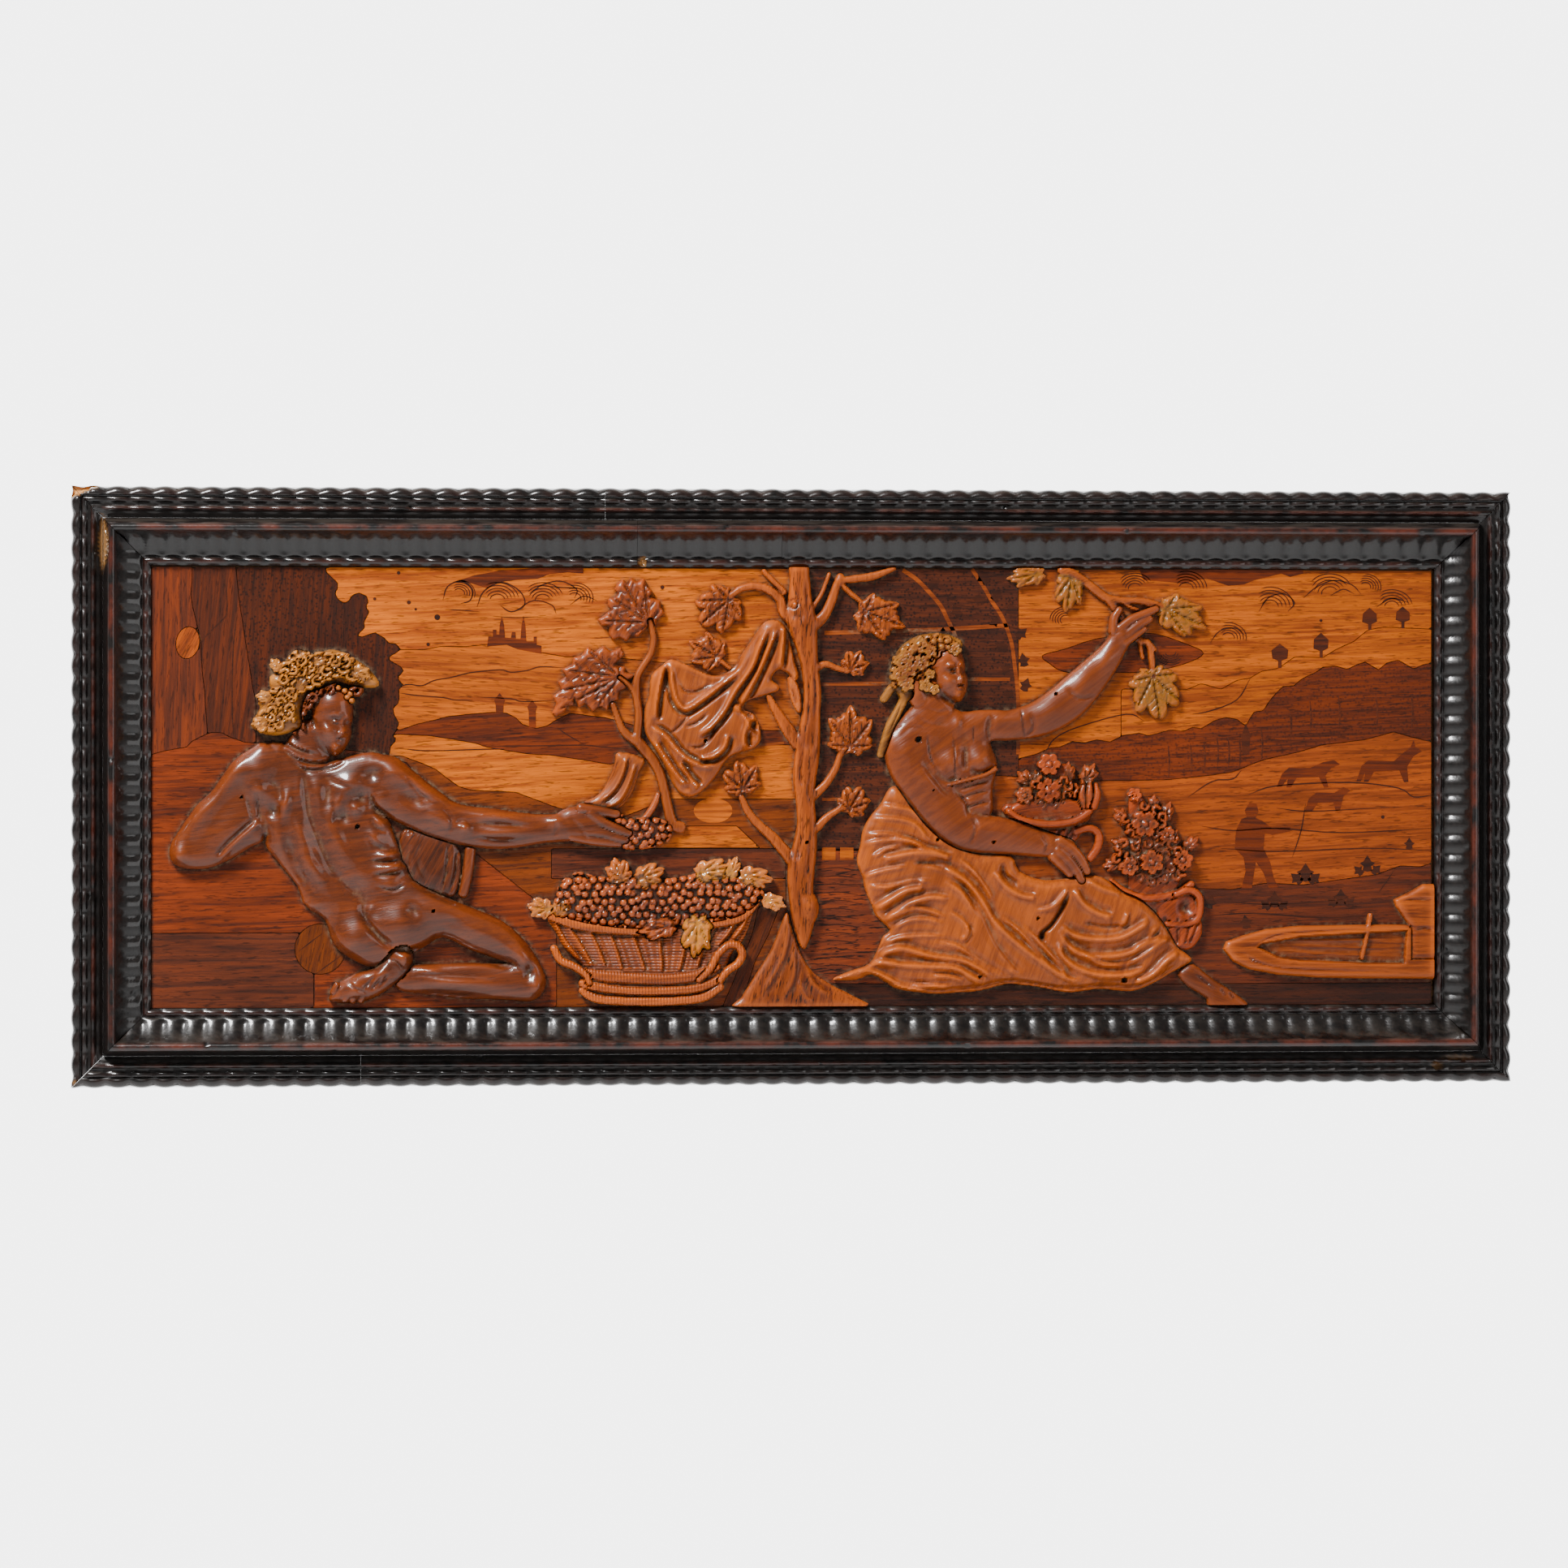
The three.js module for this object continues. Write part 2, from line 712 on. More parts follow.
// Inlay

// An outline grown by some distance, its corners kept sharp.
function grown(outline, growth) {
  const count = outline.length;
  const outward = outline.map(([u, v], k) => {
    const [nextU, nextV] = outline[(k + 1) % count];
    const long = Math.hypot(nextU - u, nextV - v) || 1;
    return [(nextV - v) / long, (u - nextU) / long];
  });
  return outline.map(([u, v], k) => {
    const [au, av] = outward[(k + count - 1) % count];
    const [bu, bv] = outward[k];
    const share = growth / Math.max(1 + au * bu + av * bv, 0.2);
    return [u + share * (au + bu), v + share * (av + bv)];
  });
}

// An upright block over an outline, from one depth off the wall to another.
function block(outline, low, high) {
  const corners = outline.map(([u, v]) => {
    const [x, , z] = placed(u, v, 0);
    return new THREE.Vector2(x, z);
  });
  const depth = high - low;
  const geometry = new THREE.ExtrudeGeometry(new THREE.Shape(corners), { depth, bevelEnabled: false });
  geometry.rotateX(Math.PI / 2);
  geometry.translate(0, -low, 0);
  return solidOf(geometry);
}

function solidOf(geometry) {
  geometry.deleteAttribute("normal");
  geometry.deleteAttribute("uv");
  const merged = mergeVertices(geometry, 1e-4);
  return new wasm.Manifold(
    new wasm.Mesh({
      numProp: 3,
      vertProperties: merged.attributes.position.array,
      triVerts: new Uint32Array(merged.index.array),
    }),
  );
}

function geometryOf(solid) {
  const { vertProperties, triVerts } = solid.getMesh();
  const geometry = new THREE.BufferGeometry();
  geometry.setAttribute("position", new THREE.BufferAttribute(vertProperties, 3));
  geometry.setIndex(new THREE.BufferAttribute(triVerts, 1));
  return geometry;
}

function counterClockwise(outline) {
  const area = THREE.ShapeUtils.area(outline.map(([u, v]) => new THREE.Vector2(u, v)));
  return area < 0 ? [...outline].reverse() : outline;
}

function box(lowU, lowV, highU, highV) {
  return [[lowU, lowV], [highU, lowV], [highU, highV], [lowU, highV]];
}

// Everything below a line, down to a level.
function below(line, level) {
  return [...line, [line[line.length - 1][0], level], [line[0][0], level]];
}

function oval(u, v, radiusU, radiusV, sides = 16) {
  return Array.from({ length: sides }, (_, k) => {
    const turn = (2 * Math.PI * k) / sides;
    return [u + radiusU * Math.cos(turn), v + radiusV * Math.sin(turn)];
  });
}

// The woods of the picture's ground, from the back forwards: each is let into those before.
function inlayPieces() {
  const w = cartoonWidth;
  const h = cartoonHeight;
  const scalloped = [
    [76, h], [79, 189], [80, 183], [85, 178], [91, 183], [95, 179], [93, 171], [90, 164],
    [98, 165.5], [109, 159], [104, 154.5], [110.5, 148.5], [107.5, 146], [110.5, 142.5],
    [108, 134], [105.5, 131], [108.5, 125], [105.5, 120.5], [104.5, 112.5], [101, 100],
  ];
  const groundLine = smooth([[0, 111.5], [10, 114], [18, 117.5], [26, 121.5], [37, 118.5], [52, 117.5]], false, 2);
  return [
    ["sky_left", "amber", box(70, 60, 290, h)],
    ["hill_far_left", "honey", below([
      [70, 158], [120, 158], [147, 160.3], [156, 161], [171, 156.8], [188, 155], [290, 151],
    ], 50)],
    ["red_hill_left", "russet", below([
      [70, 122], [109, 122.5], [126, 127.3], [151, 130.5], [163, 125], [169, 123.2], [184, 130],
      [215, 124], [290, 122],
    ], 50)],
    ["field_left", "amber", below([
      [70, 120.5], [122, 120], [143, 116.5], [165, 112], [202, 107.3], [240, 116], [290, 116],
    ], 50)],
    ["bank_left", "orange", below([
      [90, 111], [110, 111], [120, 107.3], [130, 101], [140, 96], [160, 95], [176, 89], [205, 83],
      [228, 92], [290, 92],
    ], 0)],
    ["trunk_board_outer", "umber", below([[0, h], [26, h]], 90)],
    ["trunk_board_middle", "umber", [
      [18, h], [17.5, 182], [20, 170], [22, 155], [24, 132], [25, 90], [46, 90], [46, 135],
      [43, 152], [40, 171], [37, h],
    ]],
    ["trunk_board_inner", "umber", [
      [37, h], [40, 171], [43, 152], [46, 135], [46, 90], [101, 90], ...scalloped.reverse(),
    ]],
    ["cut_branch", "orange", oval(16, 161, 5, 7)],
    ["ground_left", "russet", below([...groundLine, [100, 112], [112, 108], [140, 70], [178, 40]], 0)],
    ["dark_corner_left", "dark", box(0, 0, 71, 33)],
    ["round_repair", "orange", oval(74, 26, 11, 11, 24)],
    ["dark_strip_middle", "dark", box(176, 57, 284, 70)],
    ["pale_strip_middle", "amber", [[212, 70.6], [268, 70.6], [258, 80], [222, 80]]],
    ["slanted_board", "plum", [
      [251, 0], [257, 12], [265, 32], [268, 44.5], [277, 44.5], [272, 32], [266, 20], [259, 0],
    ]],
    ["arbour_ground", "dark", box(288, 70, 388, h)],
    ["bank_middle", "umber", box(280, 0, 345, 69)],
    ["sky_right", "honey", box(384, 60, w, h)],
    ["red_cloud_right", "russet", smooth([
      [396, 156], [403, 150], [416, 148.5], [440, 149], [467, 157], [440, 166], [415, 162],
    ], true, 2)],
    ["hill_right", "honey", below([
      [430, 141], [475, 141], [493, 149], [508, 155.5], [521, 155.3], [541, 167.5], [w, 168],
    ], 50)],
    ["forest", "russet", below([
      [384, 110], [402, 115], [425, 117], [447, 121], [466, 123.5], [477, 128.5], [486, 124],
      [503, 142.5], [521, 151], [532, 150], [546, 150], [562, 150.5], [w, 153],
    ], 40)],
    ["field_right", "orange", below([
      [345, 104], [450, 100.5], [470, 102.5], [494, 109.5], [520, 116], [553, 121], [w, 117],
    ], 30)],
    ["near_bank_right", "umber", below([
      [345, 56], [462, 52], [495, 54.3], [512, 53.5], [545, 58], [w, 64],
    ], 0)],
    ["front_strip", "dark", below([[300, 10], [400, 9], [500, 9.5], [w, 9.5]], 0)],
  ];
}

function inlay() {
  const [low, high] = [boardThickness, boardThickness + inlayThickness];
  const trim = inlayGap / 2;
  const sight = block(box(trim, trim, cartoonWidth - trim, cartoonHeight - trim), low, high);
  const pieces = inlayPieces().map(([name, wood, outline]) => [name, wood, counterClockwise(outline)]);
  pieces.forEach(([name, wood, outline], k) => {
    let solid = block(outline, low - 1, high + 1).intersect(sight);
    for (const [, , front] of pieces.slice(k + 1)) {
      solid = solid.subtract(block(grown(front, inlayGap), low - 1, high + 1));
    }
    finished(name, wood, geometryOf(largest(solid)));
  });
}

function largest(solid) {
  return solid.decompose().sort((a, b) => b.volume() - a.volume())[0];
}

// Carved pieces

function manShape() {
  const back = plate(smooth([
    [57, 117], [46, 115], [38, 110], [35, 102], [41, 95], [46, 86], [50, 76], [51, 70], [57, 63],
    [64, 54], [69, 44], [86, 48], [104, 57], [110, 64], [107, 75], [106, 81], [98, 89],
    [106, 98], [112, 103], [107, 109], [97, 113], [85, 110], [72, 107], [64, 110],
  ], true, 2), 6.4, 1.8, 16);
  const hips = plate(smooth([
    [68, 46], [76, 39], [80, 28], [88, 21.5], [98, 18], [112, 24], [126, 30], [140, 24],
    [150, 21], [160, 17], [164, 8], [169, 4], [173.5, 9], [172, 17], [165, 28.5], [154, 38.5],
    [140, 44.5], [127, 50], [115, 56.5], [110, 65], [96, 66], [80, 58],
  ], true, 2), 7.2, 1.8, 15);
  const head = limb([[70, 121, 11, 7], [78, 129, 12.5, 8]]);
  const neck = limb([[66, 110, 11, 5.5], [71, 118, 10, 6]]);
  const leftArm = limb([
    [42, 103, 10, 6], [34, 91, 9.5, 6.2], [24, 80, 8.6, 6], [16, 70, 7.4, 5.4], [24, 65.5, 4.2, 4.6],
    [36, 69.5, 4.6, 4.6], [48, 77, 4.8, 4],
  ]);
  const rightArm = limb([
    [103, 99, 12.5, 6], [118, 88, 10.5, 7], [130, 82, 9, 6.8], [142, 79.5, 9, 6.4],
    [158, 78.5, 8, 6], [172, 79, 6.5, 5.6], [182, 79.5, 6.5, 5.6],
  ]);
  const hand = limb([[182, 80, 6.6, 5.4], [190, 80, 8, 6], [198, 79, 6, 5.6]]);
  const fingers = [
    [[193, 85.5, 2.2, 4.6], [202, 79.5, 2, 4.4], [209, 77, 1.8, 4]],
    [[190, 78, 2.4, 5], [200, 76, 2.1, 4.6], [208, 74.5, 1.8, 4]],
    [[186, 75.5, 2.2, 4.6], [196, 73.8, 2, 4.4], [205, 73, 1.8, 4]],
  ].map((stations) => limb(stations));
  const shin = limb([[158, 12, 7.4, 5.2], [142, 12, 8, 6.4], [126, 12, 7.4, 6], [112, 13, 6, 5]]);
  const foot = plate(smooth([
    [113, 27.5], [115, 22], [113, 15], [106, 9.5], [96, 4], [86, 2.6], [79, 4], [83, 13],
    [92, 16], [100, 20], [105, 26],
  ], true, 2), 5, 1.6, 5);
  const body = swollen(joined(back, hips, head, neck, leftArm, rightArm, hand, ...fingers, shin, foot), [
    [56, 92, 9, 1.6], [84, 92, 9, 1.4], [92, 104, 8, 1.2], [48, 106, 8, 1], [100, 80, 5, 0.8],
    [113, 38, 13, 1.8], [90, 32, 9, 1.6], [70, 76, 7, 0.6], [88, 62, 8, 0.7], [150, 31, 10, 1.2],
    [122, 90, 6, 0.8], [166, 12, 5, 1.4], [134, 13, 8, 0.8],
  ]);
  const grooves = folded(body, [
    [[68, 106], [68, 92], [70, 80], [76, 66], [86, 53], [94, 46]],
    [[94, 40], [98, 33], [106, 27], [118, 25], [132, 25], [150, 21]],
    [[57, 114], [64, 109], [73, 107], [84, 109.5]],
    [[30, 69], [36, 74.5], [45, 81]],
  ], 2.4, -2);
  const [chin, brow] = [[87, 117], [88, 133]];
  return folded(grooves, [
    [[chin[0] - 6, chin[1] + 3], [chin[0] - 2, chin[1] + 7], [brow[0] - 4, brow[1] - 4]],
  ], 2, 0.9);
}

function wreathShape() {
  const band = limb([
    [50, 124, 6.5, 4.2], [56, 134, 8.5, 6.4], [64, 146, 8.5, 7], [78, 148, 6.5, 7], [93, 145, 4.6, 5.6],
  ], 1.8);
  const tip = limb([[88, 146, 3.6, 5.4], [98, 143, 2.4, 4]]);
  const bunches = [
    fruit(oval(66, 153, 6.5, 4.5, 10), 3.4, 6.2, 4),
    fruit(oval(84, 152.5, 6, 4, 10), 3.4, 6.2, 4),
    fruit(oval(50, 126, 6, 6.5, 10), 4.4, 5, 3),
  ];
  return folded(joined(band, tip, ...bunches), [
    [[46, 123], [52, 127], [60, 127]],
    [[48, 133], [56, 136], [66, 134]],
    [[54, 142], [61, 141], [72, 143]],
    [[62, 149], [72, 147.5], [82, 148]],
    [[84, 146], [92, 145.5], [98, 143]],
  ], 1.6, -1.6);
}

function jugShape() {
  const belly = plate(smooth([
    [111, 79], [109, 70], [111, 60], [117, 53], [126, 50], [133, 50], [136, 60], [135, 70], [128, 77],
  ], true, 2), 4, 1.6, 8);
  const lip = limb([[139, 69, 2.4, 4], [138, 60, 2.2, 4], [136, 51, 2, 3.4]]);
  return folded(joined(belly, lip), [[[134, 70], [133.5, 60], [131, 51]]], 1.4, -1.4);
}

const vineShootStems = [
  [[219.5, 163, 1.6, 3], [218, 153, 1.7, 3], [213.5, 144, 1.8, 3.2], [214, 120, 2, 3.4]],
  [[206, 126, 1.5, 3], [212, 118, 2, 3.4], [218, 112, 2.4, 3.6]],
  [[213.5, 122, 2, 3.4], [218, 112, 2.6, 3.8], [225, 100, 2.6, 3.8], [228.5, 86, 2.6, 3.6], [233, 80, 2.8, 3]],
];

function handGrapesShape() {
  return fruit(smooth([
    [203, 86], [212, 84], [222, 84], [229, 80], [228, 74], [220, 70], [210, 70], [206, 76],
  ], true, 2), 3.6, 5, 3.2);
}

function clothEndShape() {
  const end = plate(smooth([
    [206, 112], [203, 103], [197, 93], [191, 89.5], [199, 87.8], [208, 90], [213, 99], [216.5, 110],
  ], true, 2), 4, 1.6, 4);
  return folded(end, [[[210, 108], [207, 98], [202, 91]]], 1.6, -1.4);
}

function hangingClothShape() {
  const cloth = plate(smooth([
    [217, 132], [220, 147], [229, 154], [241, 149], [252, 147.5], [260, 156], [270, 170.5],
    [279, 169.5], [282, 160], [285.5, 147], [281, 148], [274.5, 148], [277, 141.5], [268, 137.5],
    [261.5, 132.5], [267, 127], [268.5, 118], [262, 113.5], [253, 109], [247, 100], [237, 93.3],
    [229, 100], [221, 115], [217, 124],
  ], true, 3), 4.2, 1.6, 4);
  const ridges = folded(cloth, [
    [[273, 168], [266, 150], [256, 138], [246, 126]],
    [[277, 168], [277, 156], [276, 149]],
    [[229, 152], [230, 140], [234, 133], [246, 138], [260, 150]],
    [[224, 122], [234, 114], [246, 112], [254, 118], [256, 128]],
    [[223, 116], [232, 104], [243, 104]],
  ], 2.4, 2.6);
  return folded(ridges, [
    [[269, 166], [261, 148], [250, 139], [238, 134]],
    [[274, 160], [269, 148], [262, 136]],
    [[221, 119], [229, 110], [240, 107.5], [250, 111]],
    [[237, 150], [238, 142], [246, 146]],
    [[264, 116], [264, 126], [262, 131]],
  ], 1.9, -1.8);
}

function treeShapes() {
  const trunk = limb([
    [285.5, 195, 4.5, 4.6], [286.5, 178, 6, 5], [288, 166, 5.6, 5], [290.5, 150, 3.9, 4.8],
    [291, 130, 4.2, 4.8], [289.5, 112, 5.4, 5], [288.5, 92, 4.2, 4.8], [288, 74, 5, 4.8],
    [286.5, 56, 6, 5], [288.5, 44, 6.2, 5.4], [287.5, 36, 4.6, 5.2], [287.5, 28, 1.6, 4.8],
  ], 2.2);
  return [
    trunk,
    leaf(250, 176, 24, 22, 220),
    leaf(321, 173, 26, 20, -20),
    leaf(310.5, 152, 13, 13, 60, 3),
    leaf(260, 101, 18, 18, 100),
    leaf(308, 121, 24, 21, 90),
    leaf(310, 91, 16, 14, 60, 3),
  ];
}

const treeStems = [
  [[288, 112, 3.4, 3.8], [278, 128, 2.8, 3.4], [272, 137, 1.6, 3]],
  [[285, 168, 3, 4], [276, 182, 2.4, 3.6], [266, 186.3, 1.8, 3.4], [254, 182, 1.6, 3.2]],
  [[288, 166, 3.4, 4], [298, 175, 2.4, 3.6], [302, 186, 2, 3.6], [304, 191, 1.8, 3.4]],
  [[303, 189, 1.8, 3.4], [312, 191, 1.8, 3.4], [321, 192, 1.7, 3.2], [328, 193.5, 1.1, 3]],
  [[303, 188, 1.6, 3.4], [315, 178, 1.5, 3]],
  [[290, 150, 2.4, 3.6], [300, 151, 1.6, 3.2], [308, 150, 1.5, 3]],
  [[290, 91, 2.4, 3.6], [299, 101, 1.8, 3.4], [305, 114, 1.6, 3.2]],
  [[289, 76, 2.4, 3.6], [298, 84, 1.8, 3.4], [307, 89, 1.6, 3]],
  [[286, 60, 3.2, 3.8], [276, 73, 2.8, 3.6], [266, 82, 2.2, 3.4], [260, 98, 1.6, 3]],
];

function treeRootShape() {
  return plate([
    [280, 42], [276, 32], [268, 17], [262, 8], [260, 0.3], [316, 0.3], [309, 5], [297, 11.5],
    [287, 22], [283, 33],
  ], 4.4, 2, 7);
}

function basketShape() {
  const body = plate([
    [174, 40], [180, 27], [189, 17.5], [188, 9], [196, 3.6], [215, 1.8], [230, 2], [244, 4],
    [252, 10], [255, 24], [261, 30], [267, 45], [255, 39], [240, 36.5], [215, 34.5], [192, 36.8],
  ], 5.4, 1.8, 8);
  const bands = [
    [[191, 16, 2.2, 6], [215, 13.6, 2.2, 6.6], [236, 14, 2.2, 6.6], [250, 18, 2.2, 6]],
    [[189, 11, 2, 6], [210, 8, 2.2, 6.6], [238, 8.3, 2.2, 6.6], [252, 13, 2, 6]],
    [[190, 7, 1.8, 5.6], [205, 3.4, 1.8, 6], [230, 2.8, 1.8, 6], [250, 8, 1.8, 5.6]],
    [[177, 26, 1.9, 4.4], [185, 18.5, 1.9, 5], [192, 12, 1.9, 6]],
    [[242, 13, 1.9, 6.4], [248, 22, 2, 6.4], [255, 27, 2, 6], [259.5, 22, 2, 5.4], [252, 14, 1.9, 6]],
    [[174, 40.5, 1.6, 5], [192, 36.5, 1.6, 5.6], [214, 34.5, 1.6, 5.6]],
    [[248, 38, 1.6, 5.6], [258, 39.5, 1.6, 5.4], [267, 46, 1.6, 4.6]],
  ].map((stations) => limb(stations));
  return joined(body, ...bands);
}

function basketGrapesShape() {
  const heap = fruit(smooth([
    [177, 47], [180, 55], [188, 60], [206, 58], [216, 61], [228, 57], [245, 61], [262, 58], [271, 52],
    [268, 47.5], [262, 42.5], [246, 38.5], [228, 37], [210, 36.5], [192, 39], [178, 42],
  ], true, 2), 3.6, 6, 4);
  const leaves = [
    leaf(206, 60, 13, 11, 120, 4.6),
    leaf(220, 58.5, 13, 9, 20, 4.6),
    leaf(247, 60.5, 17, 9, 10, 4.6),
    leaf(266, 57, 16, 9, 0, 4.4),
    leaf(223, 35, 17, 9, 10, 6.6),
    leaf(240, 33, 20, 9, 120, 6.8),
  ];
  return joined(heap, ...leaves);
}

function womanShape() {
  const chest = plate(smooth([
    [331, 128], [325, 118], [324, 108], [330, 97], [340, 90], [352, 92], [371, 97], [374, 108],
    [371, 117], [371, 131], [358, 131], [350, 136], [340, 137],
  ], true, 2), 6, 1.8, 10);
  const head = limb([[345, 147, 12, 7.6], [354, 150, 12, 8]]);
  const neck = limb([[344, 128, 10, 5.6], [347, 140, 8.4, 5.6]]);
  const nearArm = limb([
    [335, 113, 11.5, 6.6], [342, 100, 12, 7.4], [350, 88, 11, 7.4], [358, 79, 9.6, 7], [370, 76.5, 8.7, 6.8],
    [382, 75, 7.6, 6.4], [394, 72.5, 5.8, 6], [404, 69, 5.8, 5.6], [409, 62, 3.2, 4.6], [412, 58, 2.2, 4],
  ]);
  const farArm = limb([
    [364, 124, 7.5, 5.4], [380, 125, 6.8, 5.4], [394, 128, 8, 6], [405, 135, 9, 6.4], [413, 143, 8, 6.4],
    [421, 153, 6.4, 5.8], [427, 160, 5.2, 5.4], [431, 166, 5.2, 5], [438, 171, 2.6, 4.4], [444, 174.5, 2, 3.8],
  ]);
  const body = swollen(joined(chest, head, neck, nearArm, farArm), [
    [353, 107, 6, 1.6], [367, 107, 5.5, 1.4], [333, 116, 8, 0.8], [372, 78, 6, 0.5],
  ]);
  return folded(body, [
    [[371, 131], [370, 118], [372, 114]],
    [[337, 128], [346, 124], [356, 126]],
    [[352, 98], [362, 100], [373, 104]],
  ], 2.2, -1.6);
}

function flowerWreathShape() {
  const flowers = [
    [333, 141, 5], [330.5, 151, 5], [336, 158.5, 5.5], [345, 163, 5.5], [354, 162, 5], [340, 149, 6],
  ].map(([u, v, radius]) => flower(u, v, radius, 7.4));
  const band = limb([[332, 140, 3.4, 5.4], [331, 151, 4, 6], [338, 159, 4.4, 6.4], [353, 161.5, 4, 6]]);
  const ribbons = [
    limb([[333, 142, 2, 4.6], [330, 133, 2.2, 4], [325, 121, 2.2, 3.4], [322, 112, 1.8, 2.6]]),
    limb([[331, 146, 1.8, 4], [325, 139, 2, 3.2]]),
  ];
  return joined(band, ...flowers, ...ribbons);
}

function skirtShape() {
  const cloth = plate(smooth([
    [326, 97], [317, 84], [311.5, 64], [315, 52], [320, 40], [326, 34], [321, 26], [311, 16.5],
    [301, 11.8], [318, 13.5], [330, 7.5], [355, 6], [378, 9.8], [405, 6], [437, 7], [451, 14],
    [461, 19.5], [455, 26], [441, 41], [441, 46], [430, 51], [418, 58], [404, 57], [384, 60],
    [380, 67], [358, 71], [350, 77], [340, 88], [332, 97],
  ], true, 2), 5, 1.6, 10);
  const full = swollen(cloth, [
    [335, 70, 16, 1.4], [350, 52, 16, 1.6], [362, 30, 16, 1], [396, 54, 14, 1.8], [430, 36, 14, 1.4],
    [345, 12, 12, 0.8], [425, 14, 12, 0.8],
  ]);
  const ridges = folded(full, [
    [[332, 67], [345, 65], [358, 56], [368, 41], [380, 29], [392, 19], [405, 9]],
    [[314, 78], [326, 72], [344, 70]],
    [[316, 88], [328, 84], [342, 84]],
    [[321, 44], [332, 52], [346, 54]],
    [[322, 26], [345, 29], [362, 22], [380, 11]],
    [[372, 58], [382, 49], [396, 43]],
    [[404, 44], [416, 43], [428, 40]],
    [[402, 32], [416, 24], [436, 26], [452, 30]],
    [[403, 19], [425, 13], [446, 15]],
  ], 2.6, 2);
  return folded(ridges, [
    [[328, 62], [344, 60], [358, 51], [366, 37], [376, 24], [388, 12]],
    [[314, 73], [330, 67]],
    [[326, 36], [342, 42], [354, 40]],
    [[326, 21], [345, 22], [364, 15]],
    [[408, 50], [400, 37], [394, 28]],
    [[404, 36], [414, 32], [432, 34]],
    [[403, 25], [420, 18], [448, 20]],
    [[336, 12], [358, 11]],
  ], 2.1, -1.8);
}

function womanFootShape() {
  return plate([
    [456, 13], [461, 17.5], [468, 14], [476, 9], [487, 0.4], [472, 0.4], [461, 7],
  ], 3.6, 1.6, 4);
}

function urnUpperShape() {
  const bowl = plate(oval(397, 83, 19, 9, 20), 5, 1.8, 6);
  const handle = limb([[409, 78, 2, 4.4], [419, 78.5, 1.9, 4.4], [419.5, 71, 1.9, 4], [414, 66, 1.8, 3.6]]);
  const flowers = [
    [397, 107, 6], [396.5, 97, 6.5], [386, 94, 5], [405, 98, 5.5], [413, 95, 6], [415, 104, 4],
  ].map(([u, v, radius]) => flower(u, v, radius, 5));
  const stems = limb([[397, 86, 12, 4], [398, 94, 12, 4], [400, 100, 6, 3.6]]);
  return joined(bowl, handle, stems, ...flowers);
}

function urnLowerShape() {
  const bowl = plate(smooth([
    [446, 48], [462, 53], [466, 46], [466, 31], [459, 24.5], [452, 28], [446, 38],
  ], true, 2), 4.6, 1.8, 6);
  const rim = limb([[426, 55, 1.8, 4.2], [437, 49, 1.9, 4.6], [450, 48.5, 1.9, 5], [461, 54, 1.8, 4.6]]);
  const flowers = [
    [440, 81, 7], [443, 66, 7], [433, 62, 5.5], [456, 64, 6], [450, 75, 5], [436, 91, 4.5],
  ].map(([u, v, radius]) => flower(u, v, radius, 4.6));
  const stems = limb([[444, 53, 13, 3.4], [445, 66, 12, 3.6], [441, 80, 7, 3.4], [436, 92, 3, 3]]);
  return joined(bowl, rim, stems, ...flowers);
}

const branchStems = [
  [[405, 193, 1.9, 3.4], [416, 187, 2, 3.6], [424, 181, 2.2, 3.6], [438, 180.5, 1.8, 3.4], [452, 176, 1.5, 3]],
  [[424, 182, 2, 3.6], [428, 175, 1.9, 3.4], [431, 170, 1.8, 3.4]],
];

const lowBranchStems = [
  [[432, 168, 1.8, 3.2], [439, 162, 1.8, 3.2], [442.5, 157, 1.6, 3], [444, 148, 1.5, 3]],
];

function basinShape() {
  const right = cartoonWidth - 0.4;
  const trough = plate([
    [475.5, 25], [484, 17.5], [500, 13.5], [520, 12], [right, 11.3], [right, 36], [510, 35.5],
    [484, 31],
  ], 4, 1.8, 4);
  const hollow = plate([
    [491, 26], [500, 21.5], [515, 19.5], [545, 18.5], [557, 18.5], [558, 33], [510, 30.5],
  ], 2.6, 0, 2.5);
  const pillar = plate([
    [552.5, 47], [566, 54], [right, 54], [right, 20], [560, 20], [560, 34.5], [553.5, 44],
  ], 3.6, 1.8, 3);
  const dished = {
    bounds: trough.bounds,
    at(u, v) {
      const [inside, height] = trough.at(u, v);
      const [within, dish] = hollow.at(u, v);
      return [inside, within > 0 ? height - dish : height];
    },
  };
  return joined(dished, pillar);
}

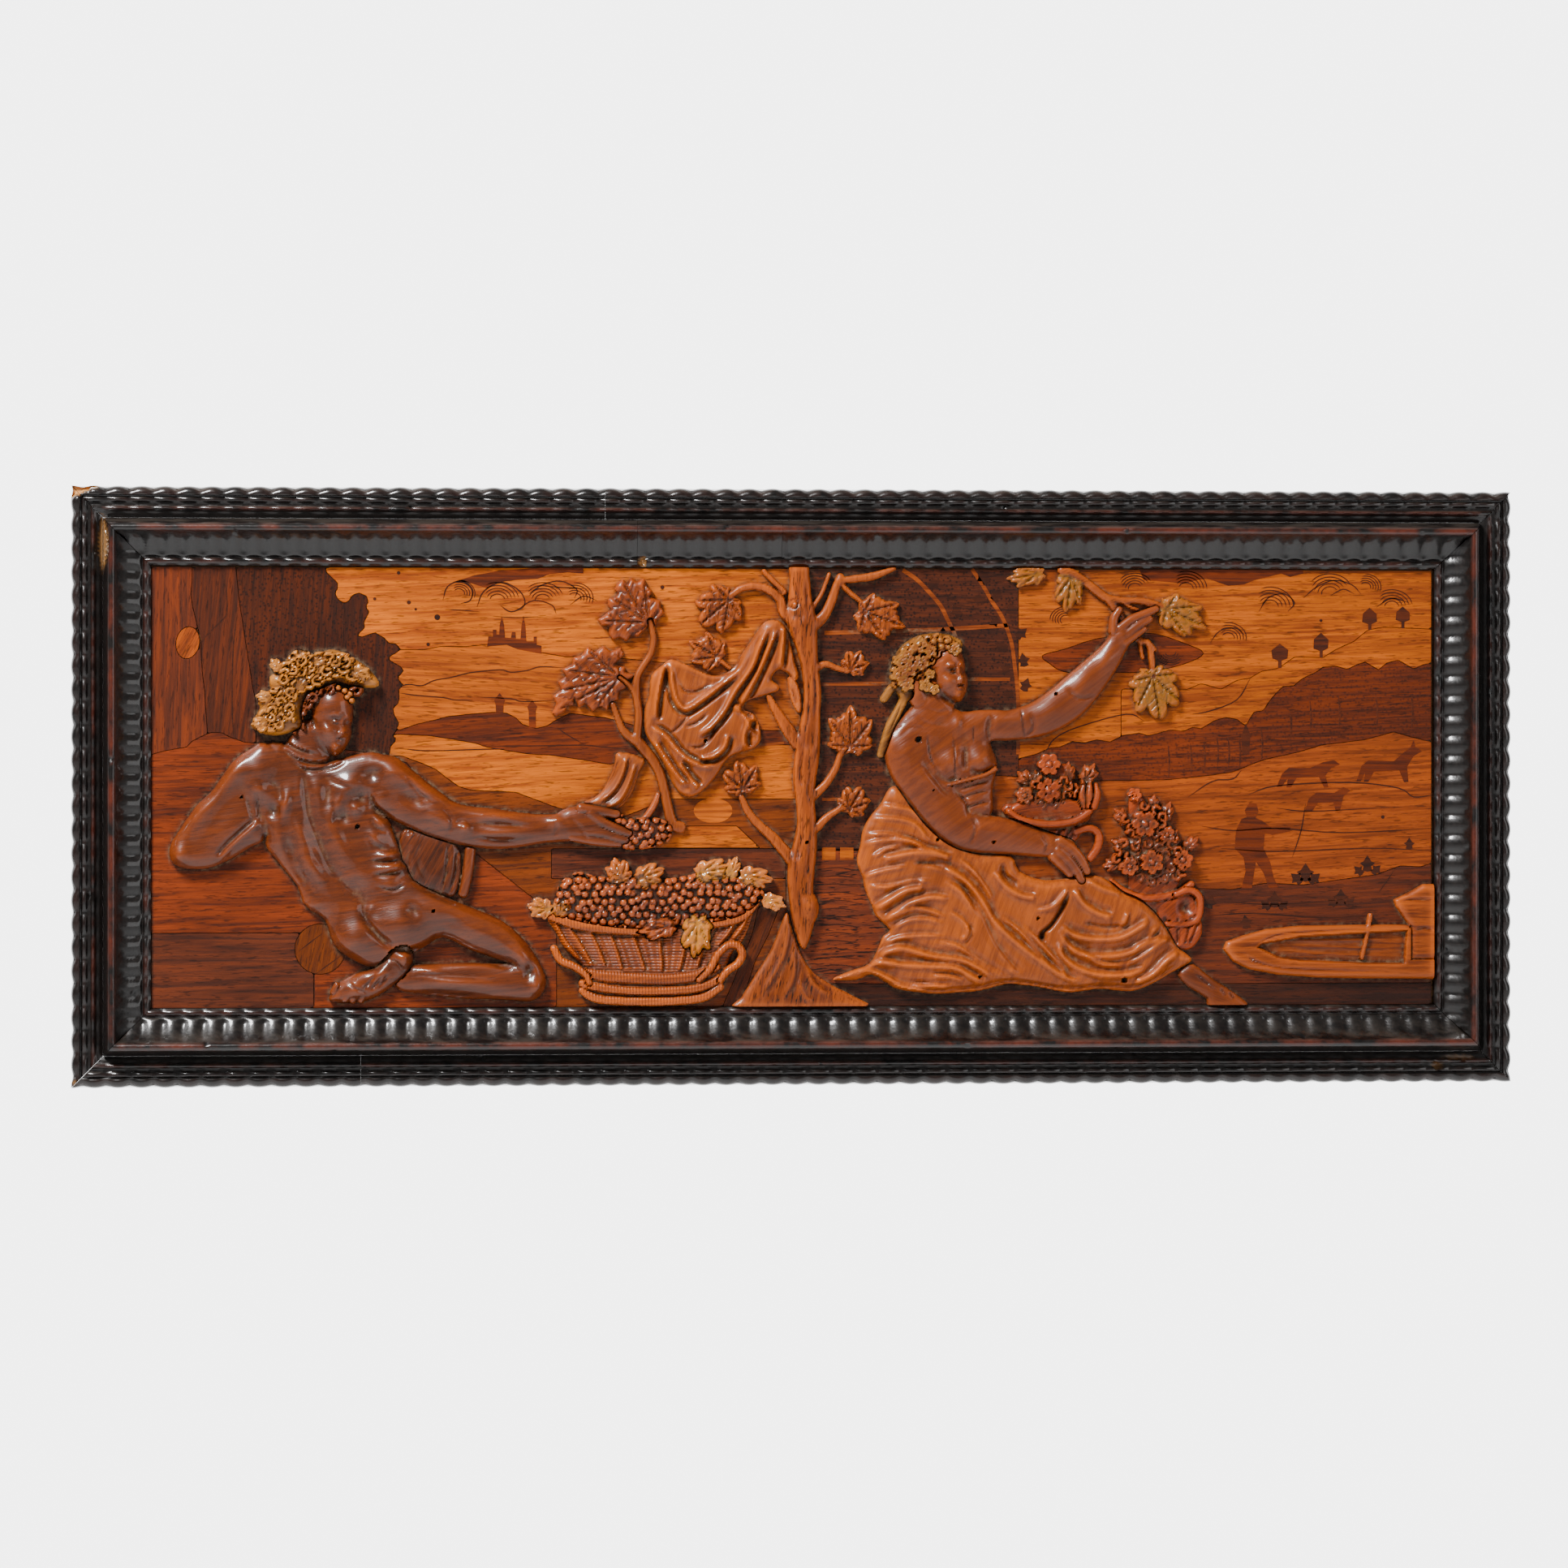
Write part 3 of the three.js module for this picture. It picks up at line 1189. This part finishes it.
// The carved pieces: name, wood, pieces in front, points set in each shape, shapes, stems.
function carvedPieces() {
  return [
    ["man", "plum", ["man_wreath"], 230, [manShape()]],
    ["man_wreath", "maple", [], 80, [wreathShape()]],
    ["jug", "plum", ["man"], 14, [jugShape()]],
    ["vine_leaf_upper", "plum", ["vine_shoot"], 14, [leaf(211, 175, 30, 30, 100, 3.8)]],
    ["vine_leaf_lower", "plum", ["vine_shoot"], 14, [leaf(193, 145, 38, 32, 222, 3.8)]],
    ["vine_shoot", "walnut", ["hand_grapes"], 0, [], vineShootStems],
    ["hand_grapes", "pear", ["man"], 45, [handGrapesShape()]],
    ["cloth_end", "cherry", ["vine_shoot"], 16, [clothEndShape()]],
    ["hanging_cloth", "cherry", ["vine_shoot"], 140, [hangingClothShape()]],
    ["tree", "walnut", ["hanging_cloth"], 24, treeShapes(), treeStems],
    ["tree_leaf", "walnut", ["hanging_cloth", "tree"], 8, [leaf(245, 157.5, 19, 17, 150)]],
    ["tree_root", "walnut", ["tree"], 8, [treeRootShape()]],
    ["basket", "walnut", ["basket_grapes"], 80, [basketShape()]],
    ["basket_grapes", "pear", [], 190, [basketGrapesShape()]],
    ["woman", "pear", ["flower_wreath"], 150, [womanShape()]],
    ["flower_wreath", "maple", [], 70, [flowerWreathShape()]],
    ["skirt", "cherry", ["woman", "urn_upper"], 270, [skirtShape()]],
    ["woman_foot", "pear", ["skirt"], 6, [womanFootShape()]],
    ["urn_upper", "russet", ["woman"], 44, [urnUpperShape()]],
    ["urn_lower", "russet", ["skirt", "urn_upper"], 44, [urnLowerShape()]],
    ["raised_branch", "walnut", ["woman"], 10, [
      leaf(405, 186, 20, 13, 260, 3.2),
      leaf(457, 173.5, 26, 17, -25, 3.4),
    ], branchStems],
    ["low_branch", "walnut", ["woman"], 10, [leaf(445, 140.5, 28, 22, 280, 3.4)], lowBranchStems],
    ["basin", "walnut", [], 14, [basinShape()]],
  ];
}

function carvings() {
  const pieces = carvedPieces();
  for (const [name, wood, fronts, points, shapes, stems = []] of pieces) {
    let solid = carved(shapes, points, stems);
    for (const front of fronts) {
      const [, , , , frontShapes, frontStems = []] = pieces.find(([other]) => other === front);
      for (const growth of [carvedGap, 0]) solid = solid.subtract(room(frontShapes, frontStems, growth));
    }
    finished(name, wood, geometryOf(largest(solid)));
  }
}

groundBoard();
frameSides();
inlay();
carvings();

export default group;
